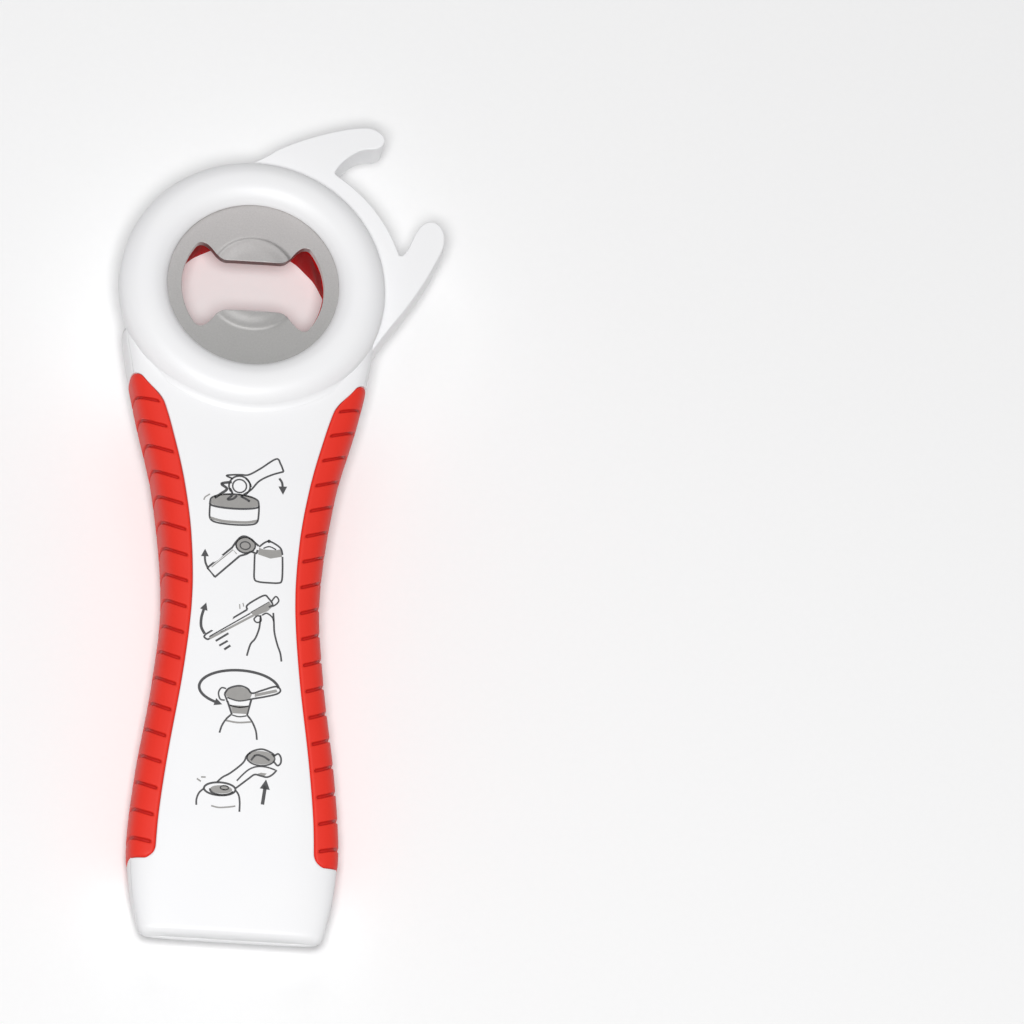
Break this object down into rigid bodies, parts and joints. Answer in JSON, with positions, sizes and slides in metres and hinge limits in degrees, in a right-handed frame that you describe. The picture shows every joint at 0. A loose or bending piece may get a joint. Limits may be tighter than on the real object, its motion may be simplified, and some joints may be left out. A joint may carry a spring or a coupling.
{
  "type": "kitchen multi-opener",
  "caption": "Rigid hand-held kitchen opener: a domed ring head with a steel crown-cap plate, a fluted cap recess behind it, a hooked jar-lid claw, and a ribbed waisted handle ending in a wedge.",
  "frame": {"origin": "middle of the underside of the bounding box, on the surface that the opener lies on", "axes": "+Z out of the front face, which carries the domed ring and the steel plate; +Y along the handle towards the head; +X towards the side with the claw"},
  "size_m": [0.0702, 0.1864, 0.027],
  "materials": {
    "white_abs": "moulded ABS, satin gloss",
    "steel_plate": "tumbled stainless steel, fine grain",
    "red_tpr": "moulded thermoplastic rubber, matt"
  },
  "bodies": {
    "root": {"front_shell": "white_abs", "rear_shell": "white_abs", "crown_plate": "steel_plate", "cap_liner": "red_tpr", "right_grip": "red_tpr", "left_grip": "red_tpr"}
  },
  "joints": []
}
